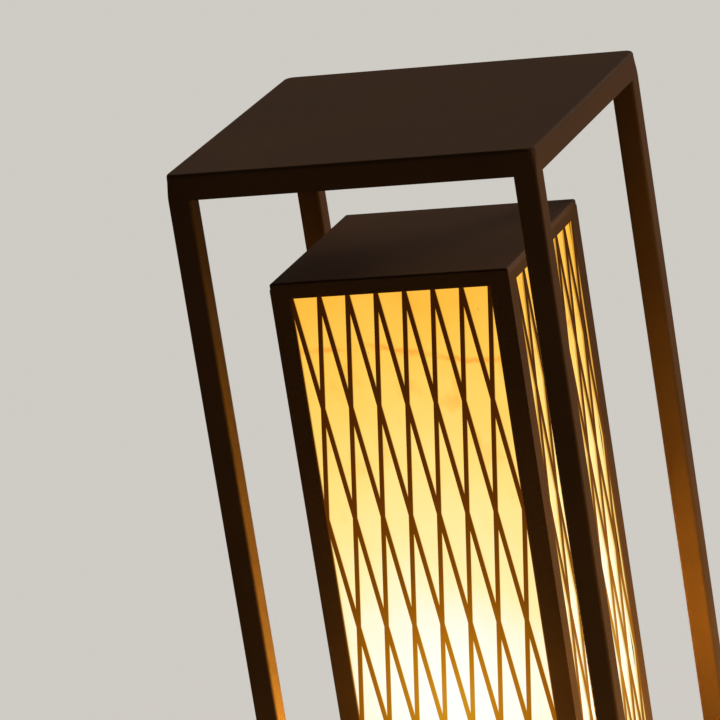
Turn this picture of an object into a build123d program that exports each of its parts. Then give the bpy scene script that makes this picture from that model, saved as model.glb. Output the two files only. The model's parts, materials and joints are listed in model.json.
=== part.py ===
from build123d import *
from math import cos, radians, sin
import os

# Andon floor lamp. A tall cage of square tube, closed on top by a folded sheet pan, stands round a
# square lantern. The lantern has four laser-cut lattice screens with panels of cloudy imitation
# alabaster behind them, a lift-off cap, and one screw-base bulb on a stem at half its height.
#
# Millimetres, +Z up, the front is -Y. The origin is on the floor, in the middle of the four feet.

os.makedirs("parts", exist_ok=True)

# ---- driving dimensions -------------------------------------------------------------------------

# cage
frame_width = 300.0
frame_height = 900.0
tube = 19.0
tube_wall = 1.5
edge_radius = 2.5
pan_depth = 21.0
pan_sheet = 1.5
foot_height = 6.0
foot_inset = 0.5
plug_length = 18.0
plug_clearance = 0.2
floor_sheet = 2.0
spigot_length = 30.0

# lantern shell
lantern_width = 197.0
lantern_drop = 106.5
screen_sheet = 2.0
stile = 16.5
head_rail = 13.0
sill_rail = 21.0
cells_across = 7
half_rows = 8
bar_width = 3.6
cap_depth = 5.0
cap_sheet = 2.0
cap_edge_radius = 2.0
cap_lip_sheet = 1.5
angle_leg = 14.0
angle_sheet = 1.5

# diffuser
diffuser_sheet = 3.0
diffuser_gap = 0.3
diffuser_over_window = 5.0
lip_gap = 0.5
kerb_height = 5.0
kerb_sheet = 1.5

# raised floor inside the lantern
raised_floor_gap = 14.0
raised_floor_sheet = 2.0
standoff_inset = 26.5
standoff_flats = 7.0
standoff_screw_radius = 2.0
floor_screw_head_radius = 3.8
floor_screw_head_height = 2.2
floor_screw_length = 9.0

# cleats that hold the lantern down
cleat_width = 24.0
cleat_height = 10.0
cleat_length = 18.0
cleat_sheet = 2.0
cleat_screw_radius = 2.5
cleat_hole_clearance = 0.25
cleat_head_flats = 8.0
cleat_head_height = 3.5
cleat_nut_height = 4.0
cleat_screw_end = 1.0

# stem and lampholder
stem_radius = 5.0
stem_wall = 1.5
stem_length = 292.0
stem_below_floor = 5.0
collar_radius = 19.0
collar_rim = 2.7
collar_neck_radius = 8.0
collar_height = 9.0
locknut_flats = 16.0
locknut_height = 3.0
running_gap = 0.1
holder_radius = 20.0
holder_neck_radius = 9.0
holder_neck_height = 4.0
holder_base_height = 24.0
holder_space_depth = 9.5
holder_sleeve_height = 34.0
holder_wall = 2.0
holder_flange_radius = 22.0
holder_flange_height = 3.0
holder_flange_lift = 17.0
holder_rounding = 0.8
socket_radius = 13.6
socket_sheet = 0.5
socket_depth = 24.0
mouth_gap = 2.5
contact_length = 8.0
contact_radius = 1.3
contact_height = 2.0

# bulb
bulb_tip_radius = 4.8
bulb_tip_height = 3.0
bulb_shell_radius = 13.1
bulb_shell_height = 22.0
thread_pitch = 3.5
thread_depth = 0.9
thread_crest = 1.0
thread_start = 1.8
thread_turns = 5
bulb_radius = 30.0
bulb_length = 112.0
bulb_neck_radius = 14.5
globe_joint_slant = 40.0
globe_wall = 1.2

# electrics
block_ways = 3
block_length = 34.0
block_width = 17.0
block_height = 10.5
block_chamfer = 2.1
block_clearance = 4.5
well_radius = 2.1
well_depth = 3.2
well_spacing = 8.5
terminal_screw_height = 1.9
wire_radius = 0.9
wire_bend = 5.0
wire_spread = 5.0
wire_gap = 0.1
barrel_gap = 0.25
ferrule_depth = 5.0
cable_radius = 3.4
gland_radius = 6.0
gland_flange_radius = 8.5
gland_flange_height = 4.0
gland_chamfer = 1.5
gland_nut_height = 3.5
grommet_radius = 7.0
grommet_lip = 2.0
grommet_clearance = 5.5
earth_stud_offset = 30.0
earth_stud_length = 11.0
earth_nut_height = 3.2

# ---- places worked out from them ----------------------------------------------------------------

corners = {"front_left": (-1, -1), "front_right": (1, -1), "back_right": (1, 1), "back_left": (-1, 1)}
sides = {"front": -90.0, "right": 0.0, "back": 90.0, "left": 180.0}

post_centre = (frame_width - tube) / 2
tube_bore = tube - 2 * tube_wall
bore_radius = edge_radius - tube_wall
pan_bottom = frame_height - pan_depth
rail_length = frame_width - 2 * tube
frame_floor_top = foot_height + tube + floor_sheet

cap_top = frame_height - lantern_drop
screen_top = cap_top - cap_depth
screen_height = screen_top - frame_floor_top
window_top = cap_top - head_rail
window_bottom = frame_floor_top + sill_rail
window_width = lantern_width - 2 * stile
window_height = window_top - window_bottom
window_middle = (window_top + window_bottom) / 2
cell_width = window_width / cells_across
half_row_height = window_height / half_rows

screen_inside = lantern_width / 2 - screen_sheet
angle_inside = screen_inside - angle_sheet
diffuser_outside = angle_inside - diffuser_gap
diffuser_inside = diffuser_outside - diffuser_sheet
lip_outside = diffuser_inside - lip_gap
raised_floor_bottom = frame_floor_top + raised_floor_gap
raised_floor_top = raised_floor_bottom + raised_floor_sheet
standoff_spacing = 2 * (screen_inside - standoff_inset)
cleat_hole_offset = screen_inside - cleat_length / 2
diffuser_top = window_top + diffuser_over_window
diffuser_height = diffuser_top - raised_floor_top

stem_bottom = raised_floor_bottom - stem_below_floor
holder_bottom = stem_bottom + stem_length
sleeve_bottom = holder_bottom + holder_base_height
socket_bottom = sleeve_bottom + holder_wall
bulb_bottom = socket_bottom + contact_height
shell_bottom = bulb_bottom + bulb_tip_height
body_bottom = shell_bottom + bulb_shell_height
bulb_top = bulb_bottom + bulb_length
globe_middle = bulb_top - bulb_radius
globe_joint = globe_middle - bulb_radius * sin(radians(globe_joint_slant))
globe_joint_radius = bulb_radius * cos(radians(globe_joint_slant))

grommet_offset = screen_inside - cleat_length - grommet_clearance - grommet_lip - grommet_radius
block_offset = grommet_offset - grommet_radius - grommet_lip - block_clearance - block_width / 2
block_pitch = block_length / block_ways
block_top = frame_floor_top + block_height
wire_height = frame_floor_top + block_height / 2


def side_plane(angle, distance):
    """The upright plane that faces outwards on one side: local x runs along the side, local y is up."""
    across = (-sin(radians(angle)), cos(radians(angle)), 0)
    outward = (cos(radians(angle)), sin(radians(angle)), 0)
    return Plane(origin=[distance * c for c in outward], x_dir=across, z_dir=outward)


def save(piece, name):
    piece.part.label = name
    export_step(piece.part, f"parts/{name}.step")


# ---- cage ---------------------------------------------------------------------------------------

# The top is one sheet folded down on four sides, with rounded bends and ball corners.
with BuildPart() as top_pan:
    with BuildSketch(Plane.XY.offset(pan_bottom)):
        Rectangle(frame_width, frame_width)
    extrude(amount=pan_depth)
    bends = top_pan.faces().sort_by(Axis.Z)[-1].edges() + top_pan.edges().filter_by(Axis.Z)
    fillet(bends, edge_radius)
    offset(amount=-pan_sheet, openings=top_pan.faces().sort_by(Axis.Z)[0])
save(top_pan, "cage_top_pan")

for corner, (sx, sy) in corners.items():
    post_place = (sx * post_centre, sy * post_centre)

    # A square tube from the foot to the underside of the pan.
    with BuildPart() as post:
        with BuildSketch(Plane.XY.offset(foot_height)):
            with Locations(post_place):
                RectangleRounded(tube, tube, edge_radius)
                RectangleRounded(tube_bore, tube_bore, bore_radius, mode=Mode.SUBTRACT)
        extrude(amount=pan_bottom - foot_height)
    save(post, f"cage_post_{corner}")

    # The stub that hangs from the pan and plugs the post's upper end.
    with BuildPart() as spigot:
        with BuildSketch(Plane.XY.offset(pan_bottom - spigot_length)):
            with Locations(post_place):
                spigot_width = tube_bore - 2 * plug_clearance
                RectangleRounded(spigot_width, spigot_width, bore_radius)
        extrude(amount=spigot_length + pan_depth - pan_sheet)
        chamfer(spigot.faces().filter_by(Axis.Z).edges(), bore_radius)
    save(spigot, f"cage_spigot_{corner}")

    # A moulded foot: a pad under the post and a ribbed plug inside it.
    with BuildPart() as foot:
        with BuildSketch(Plane.XY):
            with Locations(post_place):
                RectangleRounded(tube - 2 * foot_inset, tube - 2 * foot_inset, edge_radius - foot_inset)
        extrude(amount=foot_height)
        chamfer(foot.faces().sort_by(Axis.Z)[0].edges(), foot_inset * 2)
        with BuildSketch(Plane.XY.offset(foot_height)):
            with Locations(post_place):
                plug_width = tube_bore - 2 * plug_clearance
                rib = tube_wall * 1.5
                Rectangle(plug_width, rib)
                Rectangle(rib, plug_width)
                Circle(plug_width * 0.3)
        extrude(amount=plug_length)
    save(foot, f"cage_foot_{corner}")

for side, angle in sides.items():
    # A bottom rail, cut square and welded between two posts. The back one lets the cable gland through.
    with BuildPart() as rail:
        with BuildSketch(Plane.XZ.rotated((0, 0, angle)).offset(-rail_length / 2)):
            with Locations((post_centre, foot_height + tube / 2)):
                RectangleRounded(tube, tube, edge_radius)
                RectangleRounded(tube_bore, tube_bore, bore_radius, mode=Mode.SUBTRACT)
        extrude(amount=rail_length)
        if side == "back":
            with BuildSketch(side_plane(angle, frame_width / 2 + tube)):
                with Locations((0, foot_height + tube / 2)):
                    Circle(gland_radius + running_gap)
            extrude(amount=-3 * tube, mode=Mode.SUBTRACT)
    save(rail, f"cage_rail_{side}")

# The sheet that lies on the rails, notched round the posts, and carries the lantern.
with BuildPart() as frame_floor:
    with BuildSketch(Plane.XY.offset(foot_height + tube)):
        Rectangle(frame_width, frame_width)
        with GridLocations(2 * post_centre, 2 * post_centre, 2, 2):
            Rectangle(tube, tube, mode=Mode.SUBTRACT)
        with Locations((0, grommet_offset)):
            Circle(grommet_radius, mode=Mode.SUBTRACT)
        with PolarLocations(cleat_hole_offset, len(sides)):
            Circle(cleat_screw_radius + cleat_hole_clearance, mode=Mode.SUBTRACT)
    extrude(amount=floor_sheet)
save(frame_floor, "cage_floor")

# ---- lantern shell ------------------------------------------------------------------------------

# The lattice: two sets of slanting bars that cross on every half row.
with BuildSketch(Plane.XY) as lattice:
    bar_slant = cell_width * half_rows / 2
    for k in range(-half_rows // 2, cells_across + 1):
        foot_x = -window_width / 2 + k * cell_width
        for lean in (1, -1):
            bar_feet = lean * foot_x
            bar_heads = lean * (foot_x + bar_slant)
            with BuildLine():
                Polyline(
                    (bar_feet - bar_width / 2, -window_height / 2),
                    (bar_feet + bar_width / 2, -window_height / 2),
                    (bar_heads + bar_width / 2, window_height / 2),
                    (bar_heads - bar_width / 2, window_height / 2),
                    close=True,
                )
            make_face()
    Rectangle(window_width, window_height, mode=Mode.INTERSECT)

for side, angle in sides.items():
    # Front and back screens cover the edges of the two between them.
    covers = side in ("front", "back")
    screen_width = lantern_width if covers else 2 * screen_inside
    with BuildPart() as screen:
        with BuildSketch(side_plane(angle, lantern_width / 2)):
            with Locations((0, frame_floor_top + screen_height / 2)):
                Rectangle(screen_width, screen_height)
            with Locations((0, window_middle)):
                Rectangle(window_width, window_height, mode=Mode.SUBTRACT)
                add(lattice.sketch)
        extrude(amount=-screen_sheet)
    save(screen, f"lantern_screen_{side}")

for corner, (sx, sy) in corners.items():
    # The angle inside each corner, which the screens are welded to.
    with BuildPart() as corner_angle:
        with BuildSketch(Plane.XY.offset(frame_floor_top)):
            with Locations((sx * (screen_inside - angle_leg / 2), sy * (screen_inside - angle_leg / 2))):
                Rectangle(angle_leg, angle_leg)
            with Locations((sx * (angle_inside - angle_leg / 2), sy * (angle_inside - angle_leg / 2))):
                Rectangle(angle_leg, angle_leg, mode=Mode.SUBTRACT)
        extrude(amount=screen_height - running_gap)
    save(corner_angle, f"lantern_angle_{corner}")

# The cap: a shallow folded pan that sits flush on the screens and lifts off.
with BuildPart() as cap:
    with BuildSketch(Plane.XY.offset(screen_top)):
        Rectangle(lantern_width, lantern_width)
    extrude(amount=cap_depth)
    bends = cap.faces().sort_by(Axis.Z)[-1].edges() + cap.edges().filter_by(Axis.Z)
    fillet(bends, cap_edge_radius)
    with BuildSketch(Plane.XY.offset(screen_top)):
        Rectangle(2 * screen_inside, 2 * screen_inside)
    extrude(amount=cap_depth - cap_sheet, mode=Mode.SUBTRACT)
save(cap, "lantern_cap")

# The lip welded under the cap, which drops inside the diffusers and holds them outwards.
with BuildPart() as cap_lip:
    with BuildSketch(Plane.XY.offset(window_top)):
        Rectangle(2 * lip_outside, 2 * lip_outside)
        Rectangle(2 * (lip_outside - cap_lip_sheet), 2 * (lip_outside - cap_lip_sheet), mode=Mode.SUBTRACT)
    extrude(amount=cap_top - cap_sheet - window_top)
save(cap_lip, "lantern_cap_lip")

# ---- diffuser -----------------------------------------------------------------------------------

for side, angle in sides.items():
    covers = side in ("front", "back")
    diffuser_width = 2 * diffuser_outside if covers else 2 * (diffuser_inside - diffuser_gap)
    with BuildPart() as diffuser:
        with BuildSketch(side_plane(angle, diffuser_outside)):
            with Locations((0, raised_floor_top + diffuser_height / 2)):
                Rectangle(diffuser_width, diffuser_height)
        extrude(amount=-diffuser_sheet)
    save(diffuser, f"diffuser_{side}")

# The low kerb inside the diffusers' lower edges.
with BuildPart() as kerb:
    with BuildSketch(Plane.XY.offset(raised_floor_top)):
        Rectangle(2 * lip_outside, 2 * lip_outside)
        Rectangle(2 * (lip_outside - kerb_sheet), 2 * (lip_outside - kerb_sheet), mode=Mode.SUBTRACT)
    extrude(amount=kerb_height)
save(kerb, "diffuser_kerb")

# ---- raised floor and fixings -------------------------------------------------------------------

with BuildPart() as raised_floor:
    with BuildSketch(Plane.XY.offset(raised_floor_bottom)):
        Rectangle(2 * diffuser_outside, 2 * diffuser_outside)
        Circle(stem_radius + running_gap, mode=Mode.SUBTRACT)
        with GridLocations(standoff_spacing, standoff_spacing, 2, 2):
            Circle(standoff_screw_radius + running_gap, mode=Mode.SUBTRACT)
    extrude(amount=raised_floor_sheet)
save(raised_floor, "lantern_floor")

with BuildPart() as standoffs:
    with BuildSketch(Plane.XY.offset(frame_floor_top)):
        with GridLocations(standoff_spacing, standoff_spacing, 2, 2):
            RegularPolygon(standoff_flats / 2, 6, major_radius=False)
            Circle(standoff_screw_radius + running_gap, mode=Mode.SUBTRACT)
    extrude(amount=raised_floor_gap)
save(standoffs, "lantern_floor_standoffs")

# The screws that hold the raised floor on its standoffs, with chamfered cheese heads.
with BuildPart() as floor_screws:
    with BuildSketch(Plane.XY.offset(raised_floor_top)):
        with GridLocations(standoff_spacing, standoff_spacing, 2, 2):
            Circle(floor_screw_head_radius)
    extrude(amount=floor_screw_head_height)
    chamfer(floor_screws.edges().group_by(Axis.Z)[-1], floor_screw_head_height / 3)
    with BuildSketch(Plane.XY.offset(raised_floor_top)):
        with GridLocations(standoff_spacing, standoff_spacing, 2, 2):
            Circle(standoff_screw_radius)
    extrude(amount=-floor_screw_length)
save(floor_screws, "lantern_floor_screws")

# Folded cleats, one inside the foot of each screen, screwed down to the cage floor.
with BuildPart() as cleats:
    for angle in sides.values():
        with BuildSketch(side_plane(angle, screen_inside)):
            with Locations((0, frame_floor_top + cleat_height / 2)):
                Rectangle(cleat_width, cleat_height)
        extrude(amount=-cleat_sheet)
        with BuildSketch(side_plane(angle, screen_inside)):
            with Locations((0, frame_floor_top + cleat_sheet / 2)):
                Rectangle(cleat_width, cleat_sheet)
        extrude(amount=-cleat_length)
    with BuildSketch(Plane.XY.offset(frame_floor_top)):
        with PolarLocations(cleat_hole_offset, len(sides)):
            Circle(cleat_screw_radius + cleat_hole_clearance)
    extrude(amount=cleat_sheet, mode=Mode.SUBTRACT)
save(cleats, "lantern_cleats")

# Hexagon-headed screws from below, and their nuts on the cleats.
with BuildPart() as cleat_screws:
    with BuildSketch(Plane.XY.offset(foot_height + tube)):
        with PolarLocations(cleat_hole_offset, len(sides)):
            RegularPolygon(cleat_head_flats / 2, 6, major_radius=False)
    extrude(amount=-cleat_head_height)
    with BuildSketch(Plane.XY.offset(foot_height + tube)):
        with PolarLocations(cleat_hole_offset, len(sides)):
            Circle(cleat_screw_radius)
    extrude(amount=floor_sheet + cleat_sheet + cleat_nut_height + cleat_screw_end)
save(cleat_screws, "lantern_cleat_screws")

with BuildPart() as cleat_nuts:
    with BuildSketch(Plane.XY.offset(frame_floor_top + cleat_sheet)):
        with PolarLocations(cleat_hole_offset, len(sides)):
            RegularPolygon(cleat_head_flats / 2, 6, major_radius=False)
            Circle(cleat_screw_radius + running_gap, mode=Mode.SUBTRACT)
    extrude(amount=cleat_nut_height)
save(cleat_nuts, "lantern_cleat_nuts")

# ---- stem and lampholder ------------------------------------------------------------------------

with BuildPart() as stem:
    with BuildSketch(Plane.XY.offset(stem_bottom)):
        Circle(stem_radius)
        Circle(stem_radius - stem_wall, mode=Mode.SUBTRACT)
    extrude(amount=stem_length)
save(stem, "stem_tube")

# A turned collar that steadies the stem on the raised floor.
with BuildPart() as collar:
    with BuildSketch(Plane.XZ):
        with BuildLine():
            collar_bore = stem_radius + running_gap
            collar_top = raised_floor_top + collar_height
            Polyline(
                (collar_bore, raised_floor_top),
                (collar_radius, raised_floor_top),
                (collar_radius, raised_floor_top + collar_rim),
                (collar_neck_radius, collar_top),
                (collar_bore, collar_top),
                close=True,
            )
        make_face()
    revolve(axis=Axis.Z)
save(collar, "stem_collar")

with BuildPart() as locknut:
    with BuildSketch(Plane.XY.offset(raised_floor_bottom)):
        RegularPolygon(locknut_flats / 2, 6, major_radius=False)
        Circle(stem_radius + running_gap, mode=Mode.SUBTRACT)
    extrude(amount=-locknut_height)
save(locknut, "stem_locknut")

# The holder's lower half: a moulded cup that screws on to the stem's end.
with BuildPart() as holder_base:
    with BuildSketch(Plane.XZ):
        with BuildLine():
            neck_top = holder_bottom + holder_neck_height
            shoulder = neck_top + holder_radius - holder_neck_radius
            Polyline((0, holder_bottom), (holder_neck_radius, holder_bottom), (holder_neck_radius, neck_top))
            TangentArc((holder_neck_radius, neck_top), (holder_radius, shoulder), tangent=(1, 0))
            Polyline((holder_radius, shoulder), (holder_radius, sleeve_bottom), (0, sleeve_bottom),
                     (0, holder_bottom))
        make_face()
    revolve(axis=Axis.Z)
    # The wiring space, and the way through to it from the stem.
    with BuildSketch(Plane.XY.offset(sleeve_bottom)):
        Circle(holder_radius - holder_wall)
    extrude(amount=-holder_space_depth, mode=Mode.SUBTRACT)
    with BuildSketch(Plane.XY.offset(holder_bottom)):
        Circle(stem_radius - stem_wall)
    extrude(amount=holder_base_height, mode=Mode.SUBTRACT)
save(holder_base, "holder_base")

# The holder's sleeve, with a flange under its mouth and a web that carries the contacts.
with BuildPart() as holder_sleeve:
    with BuildSketch(Plane.XY.offset(sleeve_bottom)):
        Circle(holder_radius)
    extrude(amount=holder_sleeve_height)
    with BuildSketch(Plane.XY.offset(sleeve_bottom + holder_flange_lift)):
        Circle(holder_flange_radius)
    extrude(amount=holder_flange_height)
    chamfer(holder_sleeve.edges().group_by(Axis.Z)[-1], holder_rounding)
    with BuildSketch(Plane.XY.offset(socket_bottom)):
        Circle(socket_radius + socket_sheet)
    extrude(amount=holder_sleeve_height, mode=Mode.SUBTRACT)
    with BuildSketch(Plane.XY.offset(socket_bottom + socket_depth)):
        Circle(bulb_neck_radius + mouth_gap)
    extrude(amount=holder_sleeve_height, mode=Mode.SUBTRACT)
    with BuildSketch(Plane.XY.offset(sleeve_bottom)):
        with GridLocations(wire_spread, 0, 2, 1):
            Circle(wire_radius + wire_gap)
    extrude(amount=holder_wall, mode=Mode.SUBTRACT)
save(holder_sleeve, "holder_sleeve")

# The brass screw shell, open at the top, and the centre contact inside it.
with BuildPart() as holder_shell:
    with BuildSketch(Plane.XY.offset(socket_bottom)):
        Circle(socket_radius + socket_sheet)
        Circle(socket_radius, mode=Mode.SUBTRACT)
    extrude(amount=socket_depth)
save(holder_shell, "holder_screw_shell")

with BuildPart() as holder_contact:
    with BuildSketch(Plane.XY.offset(socket_bottom)):
        with Locations((contact_radius - contact_length / 2, 0)):
            Rectangle(contact_length, contact_radius * 2)
    extrude(amount=socket_sheet)
    with BuildSketch(Plane.XY.offset(socket_bottom + socket_sheet)):
        Circle(contact_radius)
    extrude(amount=contact_height - socket_sheet)
save(holder_contact, "holder_contact")

# ---- bulb ---------------------------------------------------------------------------------------

with BuildPart() as bulb_tip:
    with BuildSketch(Plane.XY.offset(bulb_bottom)):
        Circle(bulb_tip_radius)
    extrude(amount=bulb_tip_height, taper=-45)
save(bulb_tip, "bulb_tip")

# The screw shell with its rolled thread, which is drawn as rings on one turned profile.
with BuildPart() as bulb_shell:
    with BuildSketch(Plane.XZ):
        with BuildLine():
            groove = bulb_shell_radius - thread_depth
            flank = (thread_pitch - thread_crest) / 2
            rings = []
            for turn in range(thread_turns):
                low = shell_bottom + thread_start + turn * thread_pitch
                rings += [
                    (groove, low),
                    (bulb_shell_radius, low + flank),
                    (bulb_shell_radius, low + flank + thread_crest),
                ]
            Polyline((0, body_bottom), (0, shell_bottom), (groove, shell_bottom), *rings,
                     (groove, low + thread_pitch), (groove, body_bottom), close=True)
        make_face()
    revolve(axis=Axis.Z)
save(bulb_shell, "bulb_screw_shell")

# The body: a straight neck that flares into the globe on an arc, with the globe's slope where they meet.
with BuildPart() as bulb_body:
    with BuildSketch(Plane.XZ):
        with BuildLine():
            flare_radius = (globe_joint_radius - bulb_neck_radius) / (1 - cos(radians(globe_joint_slant)))
            flare_bottom = globe_joint - flare_radius * sin(radians(globe_joint_slant))
            Polyline((0, globe_joint), (0, body_bottom), (bulb_neck_radius, body_bottom),
                     (bulb_neck_radius, flare_bottom))
            TangentArc((bulb_neck_radius, flare_bottom), (globe_joint_radius, globe_joint), tangent=(0, 1))
            Line((globe_joint_radius, globe_joint), (0, globe_joint))
        make_face()
    revolve(axis=Axis.Z)
save(bulb_body, "bulb_body")

# The opal globe, a thin spherical shell that stands on the body's rim.
with BuildPart() as bulb_globe:
    with BuildSketch(Plane.XZ):
        with Locations((0, globe_middle)):
            Circle(bulb_radius)
            Circle(bulb_radius - globe_wall, mode=Mode.SUBTRACT)
        with Locations((0, globe_joint)):
            Rectangle(bulb_radius, 2 * bulb_radius, align=(Align.MIN, Align.MIN), mode=Mode.INTERSECT)
    revolve(axis=Axis.Z)
save(bulb_globe, "bulb_globe")

# ---- electrics ----------------------------------------------------------------------------------

# A three-way terminal block, with a barrel hole through each way and a screw well over it.
with BuildPart() as block:
    with BuildSketch(Plane.XY.offset(frame_floor_top)):
        with Locations((0, block_offset)):
            Rectangle(block_length, block_width)
    extrude(amount=block_height)
    chamfer(block.edges().filter_by(Axis.X).group_by(Axis.Z)[-1], block_chamfer)
    with BuildSketch(Plane.XZ.offset(-block_offset)):
        with Locations((0, wire_height)):
            with GridLocations(block_pitch, 0, block_ways, 1):
                Circle(wire_radius + barrel_gap)
    extrude(amount=block_width, both=True, mode=Mode.SUBTRACT)
    with BuildSketch(Plane.XY.offset(block_top)):
        with Locations((0, block_offset)):
            with GridLocations(block_pitch, well_spacing, block_ways, 2):
                Circle(well_radius)
    extrude(amount=-well_depth, mode=Mode.SUBTRACT)
save(block, "terminal_block")

with BuildPart() as block_screws:
    with BuildSketch(Plane.XY.offset(block_top - well_depth)):
        with Locations((0, block_offset)):
            with GridLocations(block_pitch, well_spacing, block_ways, 2):
                Circle(well_radius - running_gap)
    extrude(amount=terminal_screw_height)
save(block_screws, "terminal_screws")

# Two insulated wires from the block, up the stem, to the holder's web.
block_face = block_offset - block_width / 2
wire_start = block_face + ferrule_depth
for wire, (way, across) in {"live": (-1, -1), "neutral": (0, 1)}.items():
    wire_x = across * wire_spread / 2
    block_x = way * block_pitch
    with BuildPart() as lead:
        with BuildLine() as route:
            FilletPolyline(
                (block_x, wire_start, wire_height),
                (block_x, block_face * 2 / 3, wire_height),
                (wire_x, block_face / 3, wire_height),
                (wire_x, 0, wire_height),
                (wire_x, 0, socket_bottom),
                radius=wire_bend,
            )
        with BuildSketch(Plane(origin=route.line @ 0, z_dir=route.line % 0)):
            Circle(wire_radius)
        sweep()
    save(lead, f"lead_{wire}")

# The earth wire, from the block's third way to the stud.
with BuildPart() as earth_lead:
    with BuildLine() as route:
        FilletPolyline(
            (block_pitch, wire_start, wire_height),
            (block_pitch, block_face * 2 / 3, wire_height),
            (earth_stud_offset, block_face * 2 / 3, wire_height),
            (earth_stud_offset, standoff_screw_radius + wire_gap, wire_height),
            radius=wire_bend,
        )
    with BuildSketch(Plane(origin=route.line @ 0, z_dir=route.line % 0)):
        Circle(wire_radius)
    sweep()
save(earth_lead, "lead_earth")

# The cable gland in the back rail, with its nut on the inner face.
rail_axis = foot_height + tube / 2
rail_inside = frame_width / 2 - tube
with BuildPart() as gland:
    with BuildSketch(side_plane(sides["back"], frame_width / 2)):
        with Locations((0, rail_axis)):
            Circle(gland_flange_radius)
    extrude(amount=gland_flange_height)
    chamfer(gland.edges().group_by(Axis.Y)[-1], gland_chamfer)
    with BuildSketch(side_plane(sides["back"], frame_width / 2)):
        with Locations((0, rail_axis)):
            Circle(gland_radius)
    extrude(amount=-tube - gland_nut_height - running_gap)
    with BuildSketch(side_plane(sides["back"], frame_width / 2 + gland_flange_height)):
        with Locations((0, rail_axis)):
            Circle(cable_radius)
    extrude(amount=-2 * tube, mode=Mode.SUBTRACT)
save(gland, "cable_gland")

with BuildPart() as gland_nut:
    with BuildSketch(side_plane(sides["back"], rail_inside)):
        with Locations((0, rail_axis)):
            RegularPolygon(gland_flange_radius, 6, major_radius=False)
            Circle(gland_radius + running_gap, mode=Mode.SUBTRACT)
    extrude(amount=-gland_nut_height)
save(gland_nut, "cable_gland_nut")

# The rubber grommet that lines the cable hole in the cage floor.
with BuildPart() as grommet:
    with BuildSketch(Plane.XZ.offset(-grommet_offset)):
        with BuildLine():
            grommet_bottom = foot_height + tube - grommet_lip
            grommet_top = frame_floor_top + grommet_lip
            lip_radius = grommet_radius + grommet_lip
            Polyline(
                (cable_radius, grommet_bottom),
                (lip_radius, grommet_bottom),
                (lip_radius, foot_height + tube),
                (grommet_radius, foot_height + tube),
                (grommet_radius, frame_floor_top),
                (lip_radius, frame_floor_top),
                (lip_radius, grommet_top),
                (cable_radius, grommet_top),
                close=True,
            )
        make_face()
    revolve(axis=Axis((0, grommet_offset, 0), (0, 0, 1)))
save(grommet, "floor_grommet")

# The earthing stud on the raised floor's underside.
with BuildPart() as earth_stud:
    with BuildSketch(Plane.XY.offset(raised_floor_bottom)):
        with Locations((earth_stud_offset, 0)):
            Circle(standoff_screw_radius)
    extrude(amount=-earth_stud_length)
    with BuildSketch(Plane.XY.offset(raised_floor_bottom - standoff_screw_radius)):
        with Locations((earth_stud_offset, 0)):
            RegularPolygon(standoff_flats / 2, 6, major_radius=False)
    extrude(amount=-earth_nut_height)
save(earth_stud, "earth_stud")
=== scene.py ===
import json
from math import radians

import bpy
import numpy as np
from mathutils import Matrix, Vector


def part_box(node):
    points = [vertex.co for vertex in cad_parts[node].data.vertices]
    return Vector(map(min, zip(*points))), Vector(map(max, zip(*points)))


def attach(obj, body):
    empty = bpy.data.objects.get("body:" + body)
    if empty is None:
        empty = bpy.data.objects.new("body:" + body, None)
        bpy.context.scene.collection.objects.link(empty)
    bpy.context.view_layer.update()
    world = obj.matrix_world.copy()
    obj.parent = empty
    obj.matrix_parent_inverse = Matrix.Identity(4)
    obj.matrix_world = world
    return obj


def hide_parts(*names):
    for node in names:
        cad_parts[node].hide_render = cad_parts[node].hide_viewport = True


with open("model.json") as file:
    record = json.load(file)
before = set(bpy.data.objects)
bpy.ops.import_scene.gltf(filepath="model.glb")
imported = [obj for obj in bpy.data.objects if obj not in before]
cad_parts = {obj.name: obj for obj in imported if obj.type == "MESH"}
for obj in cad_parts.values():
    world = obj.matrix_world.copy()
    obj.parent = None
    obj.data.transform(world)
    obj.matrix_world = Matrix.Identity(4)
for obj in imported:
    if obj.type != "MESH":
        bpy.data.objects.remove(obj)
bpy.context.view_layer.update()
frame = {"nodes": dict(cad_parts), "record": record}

scene = bpy.context.scene
nodes = frame["nodes"]
print("frame loaded:", len(nodes), "nodes")

# Shader maths


class Socket:
    # One output of a node. Its operators add Math nodes, so a mask can be written as 1 - mask * 0.5.
    def __init__(self, shader, source):
        self.shader = shader
        self.source = source

    def __add__(self, other):
        return self.shader.maths("ADD", self, other)

    def __radd__(self, other):
        return self.shader.maths("ADD", other, self)

    def __sub__(self, other):
        return self.shader.maths("SUBTRACT", self, other)

    def __rsub__(self, other):
        return self.shader.maths("SUBTRACT", other, self)

    def __mul__(self, other):
        return self.shader.maths("MULTIPLY", self, other)

    def __rmul__(self, other):
        return self.shader.maths("MULTIPLY", other, self)

    def __truediv__(self, other):
        return self.shader.maths("DIVIDE", self, other)

    def __abs__(self):
        return self.shader.maths("ABSOLUTE", self)

    def fraction(self):
        return self.shader.maths("FRACT", self)

    def larger(self, other):
        return self.shader.maths("MAXIMUM", self, other)

    def smaller(self, other):
        return self.shader.maths("MINIMUM", self, other)

    def ramp(self, low, high):
        # 0 below low, 1 above high, eased between them
        inputs = {"Value": self, "From Min": low, "From Max": high}
        return self.shader.node("ShaderNodeMapRange", {"interpolation_type": "SMOOTHSTEP"}, inputs)


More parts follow.
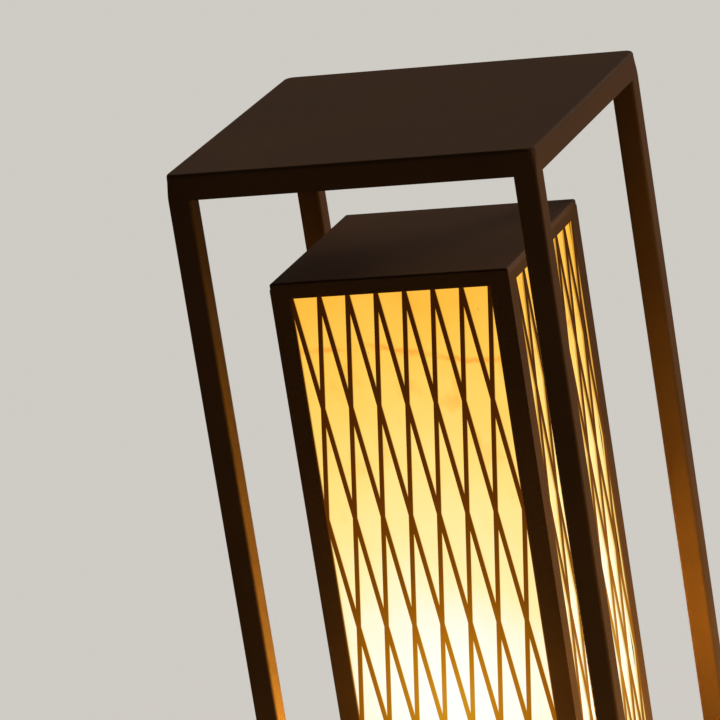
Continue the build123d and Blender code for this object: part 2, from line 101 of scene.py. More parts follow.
class Shader:
    # The nodes of one material or world. node() adds any of them.
    def __init__(self, owner):
        owner.use_nodes = True
        self.owner = owner
        self.tree = owner.node_tree
        self.tree.nodes.clear()

    def node(self, kind, settings, inputs, output=0):
        made = self.tree.nodes.new(kind)
        for key, value in settings.items():
            if key == "stops":
                self.setStops(made.color_ramp.elements, value)
            else:
                setattr(made, key, value)
        for key, value in inputs.items():
            socket = made.inputs[key]
            if isinstance(value, Socket):
                self.tree.links.new(value.source, socket)
            elif socket.type == "RGBA":
                socket.default_value = (*value, 1)
            else:
                socket.default_value = value
        return Socket(self, made.outputs[output]) if made.outputs else None

    def setStops(self, elements, stops):
        while len(elements) < len(stops):
            elements.new(1.0)
        for element, (position, colour) in zip(elements, stops):
            element.position = position
            element.color = (*colour, 1)

    def maths(self, operation, *values):
        return self.node("ShaderNodeMath", {"operation": operation}, dict(enumerate(values)))

    def vectors(self, operation, *values, output=0):
        return self.node("ShaderNodeVectorMath", {"operation": operation}, dict(enumerate(values)), output)

    def place(self):
        return self.node("ShaderNodeTexCoord", {}, {}, "Object")

    def axis(self, vector, letter):
        return self.node("ShaderNodeSeparateXYZ", {}, {0: vector}, letter)

    def noise(self, vector, scale, detail=2.0, roughness=0.5):
        inputs = {"Vector": vector, "Scale": scale, "Detail": detail, "Roughness": roughness}
        return self.node("ShaderNodeTexNoise", {}, inputs)

    def mix(self, factor, low, high):
        settings = {"data_type": "RGBA", "clamp_factor": True}
        return self.node("ShaderNodeMix", settings, {0: factor, 6: low, 7: high}, 2)

    def bump(self, height, distance):
        return self.node("ShaderNodeBump", {}, {"Height": height, "Distance": distance})

    def surface(self, inputs):
        # the usual surface with these sockets, and the finished material
        self.output(self.node("ShaderNodeBsdfPrincipled", {}, inputs))
        return self.owner

    def output(self, surface):
        ofWorld = isinstance(self.owner, bpy.types.World)
        kind = "ShaderNodeOutputWorld" if ofWorld else "ShaderNodeOutputMaterial"
        self.node(kind, {}, {"Surface": surface})


def newMaterial(name):
    # What glows is seen and mirrored, and the lamps do the lighting, so rays aren't spent on looking for
    # the glow.
    material = bpy.data.materials.new(name)
    material.cycles.emission_sampling = "NONE"
    return Shader(material)


def shown(red, green, blue):
    # a colour as it shows on a screen, 0 to 255, turned by the sRGB curve into the linear values of shaders
    parts = [c / 255 for c in (red, green, blue)]
    return tuple(c / 12.92 if c <= 0.04045 else ((c + 0.055) / 1.055) ** 2.4 for c in parts)


# The camera looks down on the lamp from its right, tilted to one side.

viewpoint = {
    "place": (1.3617, -3.8619, 1.8406),
    "right": (0.94051, 0.30323, -0.15325),
    "down": (-0.05742, -0.30270, -0.95136),
    "lens": 266.26,
    "sensor": 36.0,
}


def makeCamera(look):
    right = Vector(look["right"])
    up = -Vector(look["down"])
    turn = Matrix((right, up, right.cross(up))).transposed()
    lens = bpy.data.cameras.new("camera")
    lens.lens = look["lens"]
    lens.sensor_width = look["sensor"]
    camera = bpy.data.objects.new("camera", lens)
    camera.matrix_world = Matrix.Translation(look["place"]) @ turn.to_4x4()
    scene.collection.objects.link(camera)
    scene.camera = camera


makeCamera(viewpoint)
print("camera placed")

# Finishes. A range holds the two levels of a noise, or of a distance, at which a mark begins and is full.

coat = {
    "thin": shown(55, 36, 21),
    "thick": shown(48, 31, 18),
    "clouds": {"scale": 9.0, "detail": 4.0},
    "cloudRange": (0.3, 0.7),
    "fleck": shown(78, 60, 44),
    "flecks": {"scale": 900.0, "detail": 1.0},
    "fleckRange": (0.62, 0.78),
    "fleckAmount": 0.3,
    "peel": {"scale": 420.0},
    "peelDepth": 0.00006,
    "roughness": 0.66,
    "roughnessSpread": 0.12,
    "specular": 0.01,
}


def coatSockets(s, look):
    # Dark bronze powder coat: broad tone clouds, fine flecks, and the melted powder's orange peel as bump.
    place = s.place()
    clouds = s.noise(place, **look["clouds"])
    flecks = s.noise(place, **look["flecks"]).ramp(*look["fleckRange"])
    peel = s.noise(place, **look["peel"])
    tone = s.mix(clouds.ramp(*look["cloudRange"]), look["thick"], look["thin"])
    return {
        "Base Color": s.mix(flecks * look["fleckAmount"], tone, look["fleck"]),
        "Roughness": look["roughness"] + (clouds - 0.5) * look["roughnessSpread"],
        "Normal": s.bump(peel, look["peelDepth"]),
        "Specular IOR Level": look["specular"],
    }


def powderCoat(name, look):
    s = newMaterial(name)
    return s.surface(coatSockets(s, look))


bulbLight = {
    "height": 0.435,
    "nearest": 0.095,  # how close the panels come to the bulb's middle
    "reach": 0.27,  # how much further away the light turns its deepest amber
}


def awayFromBulb(s, place):
    # 0 where a panel is nearest to the bulb, 1 where its light is a deep amber
    fromBulb = s.vectors("SUBTRACT", place, (0, 0, bulbLight["height"]))
    return (s.vectors("LENGTH", fromBulb, output="Value") - bulbLight["nearest"]) / bulbLight["reach"]


lattice = {
    "halfWindow": 0.082,  # half the width of the part of a screen that is cut through
    "windowFoot": 0.048,
    "windowHead": 0.7805,
    "bleed": 0.0012,  # how far the painted glow and painted shade creep over the window's frame
    "outside": 0.0985,  # from the lamp's middle to the screens' outer faces
    "wallRange": (0.0004, 0.0013),  # how deep in the bars' side walls take up the glow painted on them
    "innerFaceRange": (0.00197, 0.002),  # how deep in they end, at the sheet's inner face
    "paintedBarShade": 0.5,  # painted shade: how far the thin bars' coat is darkened, to look dark beside the lit panels
    # painted glow on the bars' fronts, by distance from the bulb, in place of the lit panels' light
    "glow": [
        (0.0, shown(206, 150, 30)),
        (0.035, shown(182, 120, 14)),
        (0.1, shown(152, 90, 3)),
        (0.2, shown(118, 64, 1)),
        (0.42, shown(90, 42, 0)),
        (0.7, shown(66, 28, 0)),
        (1.0, shown(46, 17, 0)),
    ],
    # the brighter painted glow deep in the bars' side walls
    "paintedWallGlow": [
        (0.0, shown(255, 244, 196)),
        (0.1, shown(254, 228, 148)),
        (0.25, shown(250, 210, 112)),
        (0.5, shown(240, 186, 82)),
        (1.0, shown(214, 148, 44)),
    ],
}


def paintedLightLatticeCoat(name, look, window):
    # The same coat, with painted light: the glow that the lit panels throw round the thin bars is painted
    # into the coat's emission, strongest deep in their side walls, and painted shade darkens the bars within
    # the windows. On any of the four screens, the distance from its middle line is the smaller of x and y,
    # and the distance from the lamp's middle is the larger. What lies between the sheet's two faces is wall.
    s = newMaterial(name)
    place = s.place()
    x = abs(s.axis(place, "X"))
    y = abs(s.axis(place, "Y"))
    across = x.smaller(y)
    height = s.axis(place, "Z")
    depth = window["outside"] - x.larger(y)
    wall = depth.ramp(*window["wallRange"]) * (1 - depth.ramp(*window["innerFaceRange"]))
    within = 1 - across.ramp(window["halfWindow"], window["halfWindow"] + window["bleed"])
    under = 1 - height.ramp(window["windowHead"], window["windowHead"] + window["bleed"])
    over = height.ramp(window["windowFoot"] - window["bleed"], window["windowFoot"])
    away = awayFromBulb(s, place)
    glow = s.node("ShaderNodeValToRGB", {"stops": window["glow"]}, {"Fac": away})
    paintedWallGlow = s.node("ShaderNodeValToRGB", {"stops": window["paintedWallGlow"]}, {"Fac": away})
    bars = within * under * over
    sockets = coatSockets(s, look)
    # painted shade darkens the bars' coat, and painted glow lies in their emission
    return s.surface(sockets | {
        "Base Color": s.mix(bars * window["paintedBarShade"], sockets["Base Color"], (0, 0, 0)),
        "Emission Color": s.mix(bars, (0, 0, 0), s.mix(wall, glow, paintedWallGlow)),
        "Emission Strength": 1.0,
    })


alabaster = {
    "light": [
        (0.0, shown(255, 255, 252)),
        (0.08, shown(254, 250, 232)),
        (0.23, shown(254, 240, 176)),
        (0.45, shown(254, 225, 132)),
        (0.6, shown(254, 214, 108)),
        (0.78, shown(254, 203, 84)),
        (1.0, shown(250, 188, 64)),
    ],
    "amberRange": (0.1, 0.75),  # how far from the bulb blotches, veins and specks begin and are full
    "sheet": shown(116, 78, 38),
    "mottleRange": (0.35, 0.7),
    "mottleAmount": 0.3,
    "upright": 0.7,  # below 1 draws clouds and blotches out in height
    "clouds": {"scale": 9.0, "detail": 4.0, "roughness": 0.55},
    "cloudRange": (0.0, 0.3),  # how far from the bulb the clouds begin and are full
    "cloudAmount": 0.5,
    "grain": {"scale": 60.0, "detail": 4.0, "roughness": 0.6},
    "grainAmount": 0.05,
    "grainDepth": 0.0001,
    "blotch": shown(252, 172, 52),
    "blotches": {"scale": 32.0, "detail": 3.0},
    "blotchRange": (0.56, 0.72),
    "blotchAmount": 0.5,
    "vein": shown(242, 140, 34),
    "veinHeight": 0.72,
    "veinSpacing": 0.247,
    "veinTilt": 0.1,  # how much a vein falls in each metre across
    "veinWaves": {"scale": 16.0, "detail": 5.0, "roughness": 0.65},
    "veinWander": 0.028,
    "veinWidth": 0.0045,
    "veinGaps": {"scale": 45.0, "detail": 3.0},
    "veinGapRange": (0.32, 0.62),
    "veinAmount": 0.6,
    "speck": shown(120, 66, 22),
    "specks": {"scale": 240.0, "detail": 1.0},
    "speckRange": (0.8, 0.83),
    "speckAmount": 0.7,
    "roughness": 0.34,
    "roughnessSpread": 0.1,
    "specular": 0.15,
}


def alabasterSheet(name, look):
    # Cloudy resin lit from behind. The light yellows with the distance from the bulb, and clouds, grain,
    # blotches and near-level veins vary it. A vein lies where the height, warped by noise, passes a
    # multiple of the spacing, and other noise breaks it up.
    s = newMaterial(name)
    place = s.place()
    away = awayFromBulb(s, place)
    drawnOut = s.vectors("MULTIPLY", place, (1.0, 1.0, look["upright"]))
    clouds = s.noise(drawnOut, **look["clouds"])
    grain = s.noise(place, **look["grain"])
    cloudShift = (clouds - 0.5) * look["cloudAmount"] * away.ramp(*look["cloudRange"])
    distance = away + cloudShift + (grain - 0.5) * look["grainAmount"]
    light = s.node("ShaderNodeValToRGB", {"stops": look["light"]}, {"Fac": distance})
    blotches = s.noise(drawnOut, **look["blotches"]).ramp(*look["blotchRange"])
    wander = (s.noise(place, **look["veinWaves"]) - 0.5) * look["veinWander"]
    fall = (s.axis(place, "X") + s.axis(place, "Y")) * look["veinTilt"]
    turns = (s.axis(place, "Z") + fall + wander - look["veinHeight"]) / look["veinSpacing"] + 0.5
    fromVein = abs(turns.fraction() - 0.5) * look["veinSpacing"]
    unbroken = s.noise(place, **look["veinGaps"]).ramp(*look["veinGapRange"])
    veins = (1 - fromVein.ramp(0.0, look["veinWidth"])) * unbroken
    specks = s.noise(place, **look["specks"]).ramp(*look["speckRange"])
    amber = away.ramp(*look["amberRange"])
    blotched = s.mix(blotches * amber * look["blotchAmount"], light, look["blotch"])
    veined = s.mix(veins * amber * look["veinAmount"], blotched, look["vein"])
    mottle = clouds.ramp(*look["mottleRange"]) * look["mottleAmount"]
    return s.surface({
        "Base Color": s.mix(mottle, look["sheet"], look["speck"]),
        "Roughness": look["roughness"] + (grain - 0.5) * look["roughnessSpread"],
        "Normal": s.bump(grain, look["grainDepth"]),
        "Emission Color": s.mix(specks * amber * look["speckAmount"], veined, look["speck"]),
        "Emission Strength": 1.0,
        "Specular IOR Level": look["specular"],
    })


brushing = {
    "along": 0.08,  # below 1 draws the grain out along Z
    "grain": {"detail": 3.0, "roughness": 0.6},
    "grainAmount": 0.2,
    "grainDepth": 0.00002,
    "clouds": {"scale": 40.0, "detail": 3.0},
    "cloudRange": (0.3, 0.75),
    "cloudAmount": 0.6,
    "shade": 0.72,  # how bright the clouded parts are beside the rest
    "roughnessSpread": 0.2,
}


def plated(name, base, grainScale, roughness, look=brushing):
    # Bright metal: a brushed grain and faint clouding in colour and roughness.
    s = newMaterial(name)
    place = s.place()
    drawnOut = s.vectors("MULTIPLY", place, (1.0, 1.0, look["along"]))
    grain = s.noise(drawnOut, grainScale, **look["grain"])
    clouds = s.noise(place, **look["clouds"]).ramp(*look["cloudRange"])
    shade = tuple(c * look["shade"] for c in base)
    return s.surface({
        "Base Color": s.mix(clouds * look["cloudAmount"] + grain * look["grainAmount"], base, shade),
        "Roughness": roughness + (grain - 0.5) * look["roughnessSpread"],
        "Normal": s.bump(grain, look["grainDepth"]),
        "Metallic": 1.0,
    })


moulding = {
    "clouds": {"scale": 30.0, "detail": 3.0},
    "cloudRange": (0.3, 0.7),
    "cloudAmount": 0.5,
    "shade": 0.8,
    "roughnessSpread": 0.12,
}


def moulded(name, base, roughness, grainScale=500.0, grainDepth=0.00003, specular=0.4, look=moulding):
    # Moulded plastic or rubber: an even tone with a faint cloud, and spark-eroded grain as bump.
    s = newMaterial(name)
    place = s.place()
    clouds = s.noise(place, **look["clouds"]).ramp(*look["cloudRange"])
    grain = s.noise(place, grainScale)
    shade = tuple(c * look["shade"] for c in base)
    return s.surface({
        "Base Color": s.mix(clouds * look["cloudAmount"], base, shade),
        "Roughness": roughness + (grain - 0.5) * look["roughnessSpread"],
        "Normal": s.bump(grain, grainDepth),
        "Specular IOR Level": specular,
    })


opal = {
    "glass": shown(120, 112, 100),
    "middle": shown(255, 246, 226),
    "foot": shown(255, 222, 160),
    "fade": 0.5,  # the part of the globe's height over which the foot's tone gives way
    "roughness": 0.3,
}


def opalGlobe(name, look):
    # A lit opal globe, a touch dimmer and warmer towards its foot.
    s = newMaterial(name)
    low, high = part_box("bulb_globe")
    level = (s.axis(s.place(), "Z") - low.z) / (high.z - low.z)
    return s.surface({
        "Base Color": look["glass"],
        "Roughness": look["roughness"],
        "Emission Color": s.mix(level.ramp(0.0, look["fade"]), look["foot"], look["middle"]),
        "Emission Strength": 1.0,
    })


finishes = {
    "cage": powderCoat("cageCoat", coat),
    "lantern": powderCoat("lanternCoat", coat),
    "alabaster": alabasterSheet("litAlabaster", alabaster),
    "inner_steel": plated("zincPlate", shown(176, 178, 180), grainScale=600.0, roughness=0.34),
    "brass": plated("brass", shown(196, 156, 84), grainScale=700.0, roughness=0.3),
    "bulb_shell": plated("rolledAluminium", shown(196, 196, 198), grainScale=700.0, roughness=0.3),
    "holder": moulded("holderBlack", shown(30, 29, 28), roughness=0.45, specular=0.2),
    "bulb_body": moulded("bulbWhite", shown(226, 225, 221), roughness=0.4),
    "bulb_globe": opalGlobe("litOpal", opal),
    "block": moulded("blockIvory", shown(222, 219, 205), roughness=0.4),
    "rubber": moulded(
        "footRubber",
        shown(26, 25, 24),
        roughness=0.75,
        grainScale=900.0,
        grainDepth=0.00005,
        specular=0.08,
    ),
    "lead_live": moulded("leadBrown", shown(112, 62, 32), roughness=0.4),
    "lead_neutral": moulded("leadBlue", shown(40, 88, 170), roughness=0.4),
    "lead_earth": moulded("leadGreen", shown(72, 140, 54), roughness=0.4),
}
# the screens' coat, with painted glow and painted shade on the bars
screenCoatPaintedLight = paintedLightLatticeCoat("screenCoatPaintedLight", coat, lattice)
slotOf = {part["node"]: part["material_slot"] for part in frame["record"]["subparts"]}
for node, piece in nodes.items():
    piece.data.materials.clear()
    piece.data.materials.append(screenCoatPaintedLight if node.startswith("lantern_screen") else finishes[slotOf[node]])
print("finishes on", len(nodes), "nodes")

# The softened top, rolled threads and screw heads are grids whose rows are rings round a middle line.

crispFrom = radians(40)  # where two faces turn by this much or more, the edge between them stays crisp

topPan = {
    "sheet": 0.0015,
    "bend": 0.0025,  # the radius of the fold along the top's four edges
    "postCorner": 0.0025,
    "topCorner": 0.008,  # the rim's corners grow rounder than the posts towards the top
    "growth": 0.019,  # the height over which they grow
    "flat": 0.0005,  # a narrow strip beside each bend, which keeps the wide faces flat in the light
    "wallRings": 10,
    "bendRings": 7,
    "cornerPoints": 10,
}

thread = {
    "pitch": 0.0035,
    "runOut": 0.0025,  # the height over which a thread fades at each end
    "bulbDepth": 0.0009,
    "rollHeight": 0.0022,  # the bulb shell's lower edge, rolled in to the tip
    "tipRadius": 0.0079,
    "rollRings": 9,
    "holderDepth": 0.00035,
    "holderSheet": 0.0005,
    "rings": 110,
    "columns": 96,
}

screwHeads = {
    "crossed_floor_screws": {
        "node": "lantern_floor_screws",
        "across": (2, 2),  # how many along X and along Y
        "headRadius": 0.0038,
        "headHeight": 0.0022,
        "shankRadius": 0.002,
        "chamfer": 0.0006,
        "cut": {"crossed": True, "width": 0.0011, "reach": 0.0022, "depth": 0.0014, "wall": 0.0002},
    },
    "slotted_terminal_screws": {
        "node": "terminal_screws",
        "across": (3, 2),
        "headRadius": 0.002,
        "headHeight": 0.0019,
        "shankRadius": 0,
        "chamfer": 0.0002,
        "cut": {"crossed": False, "width": 0.0006, "reach": 0.0016, "depth": 0.0008, "wall": 0.00012},
    },
}

screwGrid = {
    "columns": 96,
    "headRings": 24,
    "turn": 0.11,  # each screw stops this part of a turn after the last
}


def joinRings(rings, hollow, start):
    # Each ring meets the next with four-sided faces, and they look outwards where the rings climb. A hollow
    # grid's last ring meets its first. Otherwise a fan closes each end on a point in its middle.
    rows, columns = rings.shape[:2]
    here = start + np.arange(rows * columns).reshape(rows, columns)
    if hollow:
        here = np.vstack((here, here[:1]))
    beside = np.roll(here, -1, axis=1)
    points = rings.reshape(-1, 3)
    faces = np.stack((here[:-1], beside[:-1], beside[1:], here[1:]), axis=-1).reshape(-1, 4).tolist()
    if not hollow:
        foot = np.full(columns, start + len(points))
        points = np.vstack((points, rings[0].mean(axis=0), rings[-1].mean(axis=0)))
        faces += np.stack((foot, beside[0], here[0]), axis=-1).tolist()
        faces += np.stack((here[-1], beside[-1], foot + 1), axis=-1).tolist()
    return points, faces


def addRings(name, grids, node, body, hollow=False):
    # One piece from several grids, in the place and finish of the node that it replaces. It joins the
    # nodes, so that the lantern's lights find it by its name.
    points = np.empty((0, 3))
    faces = []
    for rings in grids:
        more, joined = joinRings(rings, hollow, len(points))
        points = np.vstack((points, more))
        faces += joined
    mesh = bpy.data.meshes.new(name)
    mesh.from_pydata(points.tolist(), [], faces)
    mesh.shade_smooth()
    mesh.set_sharp_from_angle(angle=crispFrom)
    mesh.materials.append(finishes[slotOf[node]])
    piece = bpy.data.objects.new(name, mesh)
    scene.collection.objects.link(piece)
    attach(piece, body)
    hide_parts(node)
    nodes[name] = piece


def roundedSquares(half, radius, height, look):
    # Square rings with rounded corners, one a row, of half side h and corner radius r. With q the bearing
    # of a corner and a the angle round it, x = (h - r) sign(cos q) + r cos a and y = (h - r) sign(sin q) +
    # r sin a. One more point lies a little way along the side at each end of a corner.
    along = np.zeros(look["cornerPoints"] + 2)
    along[[0, -1]] = -look["flat"], look["flat"]
    along = np.tile(along, 4)
    arc = np.pad(np.linspace(0, np.pi / 2, look["cornerPoints"]), 1, mode="edge")
    quarter = np.repeat(np.arange(4) * np.pi / 2, len(arc))
    angle = quarter + np.tile(arc, 4)
    bearing = quarter + np.pi / 4
    x = (half - radius) * np.sign(np.cos(bearing)) + radius * np.cos(angle) - along * np.sin(angle)
    y = (half - radius) * np.sign(np.sin(bearing)) + radius * np.sin(angle) + along * np.cos(angle)
    return np.stack((x, y, np.broadcast_to(height, x.shape)), axis=-1)


def makeTopPan(look):
    # One closed skin: from the middle of the ceiling down the inner walls, and up the outer walls to the
    # middle of the top. A bend of radius b sets the wall in by b (1 - cos a) and lifts it by b sin a. A
    # corner's radius grows with the height, from the posts' to the top's, by t t (3 - 2 t) where t runs
    # from 0 to 1.
    low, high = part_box("cage_top_pan")
    bend = look["bend"]
    turn = np.linspace(0, np.pi / 2, look["bendRings"])[1:]
    wall = np.linspace(low.z, high.z - bend, look["wallRings"])
    inset = np.concatenate((np.zeros(len(wall)), bend * (1 - np.cos(turn)), [bend + look["flat"]]))
    height = np.concatenate((wall, high.z - bend * (1 - np.sin(turn)), [high.z]))
    grown = np.clip((height - low.z) / look["growth"], 0, 1)
    corner = look["postCorner"] + (look["topCorner"] - look["postCorner"]) * grown ** 2 * (3 - 2 * grown)
    radius = np.maximum(corner - inset, look["flat"])
    innerBend = bend - look["sheet"]
    innerTurn = turn[::-1]
    innerWall = np.linspace(high.z - bend, low.z, look["wallRings"])
    innerInset = look["sheet"] + np.concatenate((
        [innerBend + look["flat"]], innerBend * (1 - np.cos(innerTurn)), np.zeros(len(innerWall))))
    ceiling = high.z - look["sheet"]
    innerHeight = np.concatenate(([ceiling], ceiling - innerBend * (1 - np.sin(innerTurn)), innerWall))
    innerRadius = np.maximum(np.interp(innerHeight, height[:-1], corner[:-1]) - innerInset, look["flat"])
    half = (high.x - low.x) / 2 - np.concatenate((innerInset, inset))[:, None]
    radius = np.concatenate((innerRadius, radius))[:, None]
    height = np.concatenate((innerHeight, height))[:, None]
    rings = roundedSquares(half, radius, height, look)
    addRings("cage_top_softened", [rings], "cage_top_pan", "lamp")


def turned(radius, height, columns):
    # rings of these radii at these heights, one a row: x = radius cos(angle), y = radius sin(angle)
    angle = np.linspace(0, 2 * np.pi, columns, endpoint=False)
    x = radius * np.cos(angle)
    y = radius * np.sin(angle)
    return np.stack((x, y, np.broadcast_to(height, x.shape)), axis=-1)


def threadWave(height, low, high, look):
    # 0 in the groove and 1 on the crest: one cosine wave a pitch, which climbs a pitch in each turn round
    # the middle line, and fades with the height left to either end
    turn = np.linspace(0, 1, look["columns"], endpoint=False)
    wave = 0.5 + 0.5 * np.cos(2 * np.pi * ((height - low) / look["pitch"] - turn))
    return wave * np.clip(np.minimum(height - low, high - height) / look["runOut"], 0, 1)


def makeBulbShell(look):
    # The lower edge rolls in on a quarter ellipse, and above it the radius is the groove's plus depth times
    # wave.
    low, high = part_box("bulb_screw_shell")
    groove = high.x - look["bulbDepth"]
    rollTop = low.z + look["rollHeight"]
    roll = np.linspace(0, np.pi / 2, look["rollRings"])[:, None]
    rollRadius = look["tipRadius"] + (groove - look["tipRadius"]) * np.sin(roll)
    height = np.linspace(rollTop, high.z, look["rings"])[1:, None]
    radius = groove + look["bulbDepth"] * threadWave(height, rollTop, high.z, look)
    radii = np.vstack((np.broadcast_to(rollRadius, (look["rollRings"], look["columns"])), radius))
    heights = np.vstack((low.z + look["rollHeight"] * (1 - np.cos(roll)), height))
    addRings("rolled_bulb_shell", [turned(radii, heights, look["columns"])], "bulb_screw_shell", "bulb")


def makeHolderShell(look):
    # A thin sleeve pressed inwards by depth times wave. The rings climb the outer wall and come down the
    # inner one.
    low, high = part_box("holder_screw_shell")
    height = np.linspace(low.z, high.z, look["rings"])[:, None]
    outer = high.x - look["holderDepth"] * threadWave(height, low.z, high.z, look)
    radii = np.vstack((outer, outer[::-1] - look["holderSheet"]))
    heights = np.vstack((height, height[::-1]))
    rings = turned(radii, heights, look["columns"])
    addRings("rolled_holder_shell", [rings], "holder_screw_shell", "lamp", hollow=True)


def cutDepth(x, y, cut):
    # How far the driver's recess goes down: its whole depth where a point is nearer to the slot's line than
    # half the width and nearer to the middle than the reach, with a narrow sloping wall at those limits.
    across = np.minimum(abs(x), abs(y)) if cut["crossed"] else abs(x)
    along = np.maximum(abs(x), abs(y)) if cut["crossed"] else abs(y)
    within = np.clip((cut["width"] / 2 - across) / cut["wall"] + 0.5, 0, 1)
    inside = np.clip((cut["reach"] - along) / cut["wall"] + 0.5, 0, 1)
    return cut["depth"] * within * inside


def screwRings(look, low, high, turns):
    # One screw at the origin: a turned profile with its recess, turned round by a part of a turn.
    head = look["headRadius"]
    shank = look["shankRadius"]
    chamfer = look["chamfer"]
    foot = high.z - look["headHeight"]
    profile = [(head, foot), (head, high.z - chamfer), (head - chamfer, high.z)]
    if shank:
        profile = [(shank - chamfer, low.z), (shank, low.z + chamfer), (shank, foot)] + profile
    inward = np.linspace(head - chamfer, 0, screwGrid["headRings"], endpoint=False)[1:]
    radius, height = np.array(profile + [(r, high.z) for r in inward]).T[..., None]
    rings = turned(radius, height, screwGrid["columns"])
    x, y = rings[..., 0], rings[..., 1]
    rings[..., 2] = np.minimum(rings[..., 2], high.z - cutDepth(x, y, look["cut"]))
    angle = 2 * np.pi * turns
    spun = np.array(((np.cos(angle), np.sin(angle), 0), (-np.sin(angle), np.cos(angle), 0), (0, 0, 1)))
    return rings @ spun


def makeScrews(name, look):
    low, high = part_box(look["node"])
    head = look["headRadius"]
    grids = []
    for x in np.linspace(low.x + head, high.x - head, look["across"][0]):
        for y in np.linspace(low.y + head, high.y - head, look["across"][1]):
            grids.append(screwRings(look, low, high, screwGrid["turn"] * len(grids)) + (x, y, 0))
    addRings(name, grids, look["node"], "lamp")


makeTopPan(topPan)
makeBulbShell(thread)
makeHolderShell(thread)
for name, look in screwHeads.items():
    makeScrews(name, look)
print("top, threads and screws made")

# The floor, the studio light and the lantern's own light

studio = {
    "floor": shown(160, 157, 152),
    "floorReach": 14.0,
    "backdrop": shown(232, 230, 226),
    "floorGlow": 0.5,  # the part of the floor's paleness that the shadow doesn't darken
    "skyLight": 0.1,
    # low light from the back right, wide across and thin in height
    "key": {
        "bearings": (26, 46, 66),
        "rise": 20,
        "spread": 0.35,
        "strength": 1.62,
        "colour": (1.0, 0.95, 0.88),
    },
    # more of it, from the middle bearing and a little lower, for the lantern's cap alone
    "capKey": {
        "bearings": (46,),
        "rise": 18,
        "spread": 0.35,
        "strength": 2.9,
        "colour": (1.0, 0.95, 0.88),
    },
}


def seenDirectly(s):
    # 1 for the camera's own rays and for what mirrors and glass show of the surroundings, 0 for lighting
    path = s.node("ShaderNodeLightPath", {}, {}).source.node.outputs
    camera = Socket(s, path["Is Camera Ray"])
    mirrored = Socket(s, path["Is Glossy Ray"])
    passed = Socket(s, path["Is Transmission Ray"])
    return camera.larger(mirrored).larger(passed)


def makeFloor(look):
    # A wide square. Where it is seen, a pale glow is laid over its grey, which still takes the shadow.
    reach = look["floorReach"]
    mesh = bpy.data.meshes.new("floor")
    corners = [(-reach, -reach, 0), (reach, -reach, 0), (reach, reach, 0), (-reach, reach, 0)]
    mesh.from_pydata(corners, [], [(0, 1, 2, 3)])
    floor = bpy.data.objects.new("floor", mesh)
    scene.collection.objects.link(floor)
    s = newMaterial("paleFloor")
    grey = s.node("ShaderNodeBsdfDiffuse", {}, {"Color": look["floor"]})
    glow = s.node("ShaderNodeEmission", {}, {
        "Color": look["backdrop"],
        "Strength": seenDirectly(s) * look["floorGlow"],
    })
    s.output(s.node("ShaderNodeAddShader", {}, {0: grey, 1: glow}))
    mesh.materials.append(s.owner)


def makeSky(look):
    # Pale where the camera and reflections look, and plain grey light everywhere else.
    s = Shader(bpy.data.worlds.new("sky"))
    plain = s.node("ShaderNodeBackground", {}, {"Color": (1, 1, 1), "Strength": look["skyLight"]})
    pale = s.node("ShaderNodeBackground", {}, {"Color": look["backdrop"]})
    s.output(s.node("ShaderNodeMixShader", {}, {0: seenDirectly(s), 1: plain, 2: pale}))
    s.owner.cycles.sampling_method = "NONE"
    scene.world = s.owner


def addLamp(name, light, place, aim):
    lamp = bpy.data.objects.new(name, light)
    lamp.location = place
    lamp.rotation_mode = "QUATERNION"
    lamp.rotation_quaternion = (Vector(aim) - Vector(place)).to_track_quat("-Z", "Y")
    lamp.visible_camera = False
    scene.collection.objects.link(lamp)
    return lamp


def makeStudioLight(name, look, receivers=None):
    # A soft light from far off, even over the whole floor, from one or more bearings. The bearings, from +X,
    # and the rise are in degrees, and the spread, how wide it looks from here, is in radians.
    for bearing in look["bearings"]:
        light = bpy.data.lights.new(name, "SUN")
        light.energy = look["strength"]
        light.angle = look["spread"]
        light.color = look["colour"]
        swing = Matrix.Rotation(radians(bearing), 3, "Z") @ Matrix.Rotation(-radians(look["rise"]), 3, "Y")
        lamp = addLamp(name, light, swing @ Vector((1, 0, 0)), (0, 0, 0))
        lamp.light_linking.receiver_collection = receivers


def gather(name, start):
    # a collection of the nodes whose names begin so, for lights that shine on them alone
    receivers = bpy.data.collections.new(name)
    for node, piece in nodes.items():
        if node.startswith(start):
            receivers.objects.link(piece)
    return receivers


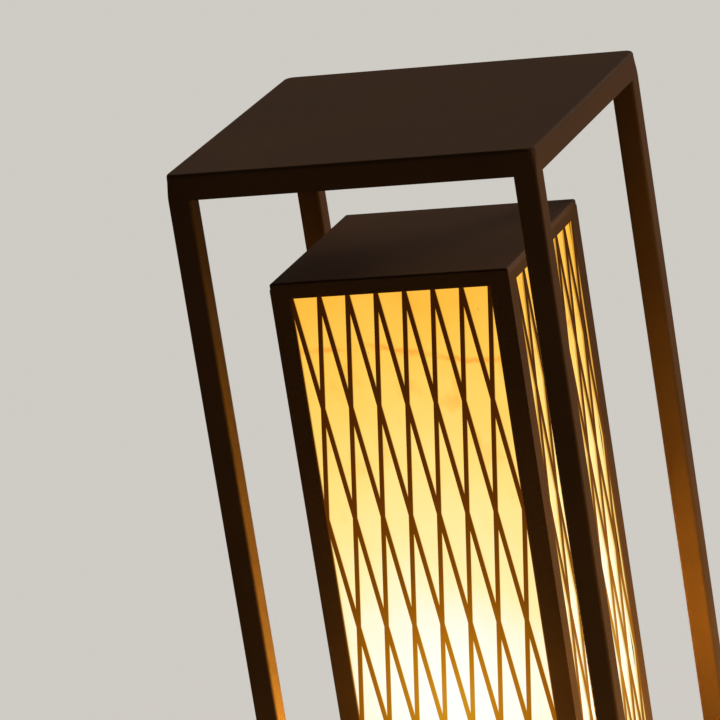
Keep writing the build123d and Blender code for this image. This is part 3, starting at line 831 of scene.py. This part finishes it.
# Hidden lights round the lantern. Most shine out through the lattice on the cage. The veil and the bounce
# are aimed inwards, at a height on the middle line: the first is the glow over the screens, and the second
# is what comes back from the room. No two on one side lie in one plane. A light shines on the pieces whose
# names begin with its "lit", so an empty one means all of them. The powers are in watts.
lanternLight = {
    "wide": {"lit": "cage_", "out": 0.0968, "height": 0.42, "size": (0.18, 0.66)},
    "core": {"lit": "cage_", "out": 0.0971, "height": 0.42, "size": (0.18, 0.2)},
    "low": {"lit": "cage_", "out": 0.0974, "height": 0.3, "size": (0.18, 0.3)},
    "veil": {"lit": "lantern_", "out": 0.16, "height": 0.42, "size": (0.15, 0.26), "aimHeight": 0.4},
    "bounce": {"lit": "", "out": 0.45, "height": 0.03, "size": (0.6, 0.3), "aimHeight": 0.4},
}
lanternPower = {
    "wide": {"front": 13.4, "right": 3.4, "back": 3.4, "left": 3.4},
    "core": {"right": 5.2, "back": 5.2, "left": 5.2},
    "low": {"front": 42.0},
    "veil": {"front": 0.3, "right": 0.3, "back": 0.3, "left": 0.3},
    "bounce": {"front": 3.6, "right": 19.0, "back": 2.5, "left": 3.0},
}
lanternColour = {
    "front": (1.0, 0.62, 0.08),
    "right": (1.0, 0.56, 0.05),
    "back": (1.0, 0.56, 0.05),
    "left": (1.0, 0.56, 0.05),
    "bounce": (1.0, 0.72, 0.22),
}


def makeLanternLight(look, powers, colours):
    sides = {"front": (0, -1), "right": (1, 0), "back": (0, 1), "left": (-1, 0)}
    for name, one in look.items():
        receivers = gather(name + "Lit", one["lit"])
        for side, power in powers[name].items():
            x, y = sides[side]
            light = bpy.data.lights.new(name + side.title(), "AREA")
            light.shape = "ELLIPSE"
            light.size, light.size_y = one["size"]
            light.energy = power
            light.color = colours[name if name in colours else side]
            aim = (0, 0, one["aimHeight"]) if "aimHeight" in one else (x, y, one["height"])
            lamp = addLamp(light.name, light, (x * one["out"], y * one["out"], one["height"]), aim)
            lamp.light_linking.receiver_collection = receivers


makeFloor(studio)
makeSky(studio)
makeStudioLight("key", studio["key"])
makeStudioLight("capKey", studio["capKey"], gather("capLit", "lantern_cap"))
makeLanternLight(lanternLight, lanternPower, lanternColour)
scene.view_settings.view_transform = "Standard"
print("stage lit")
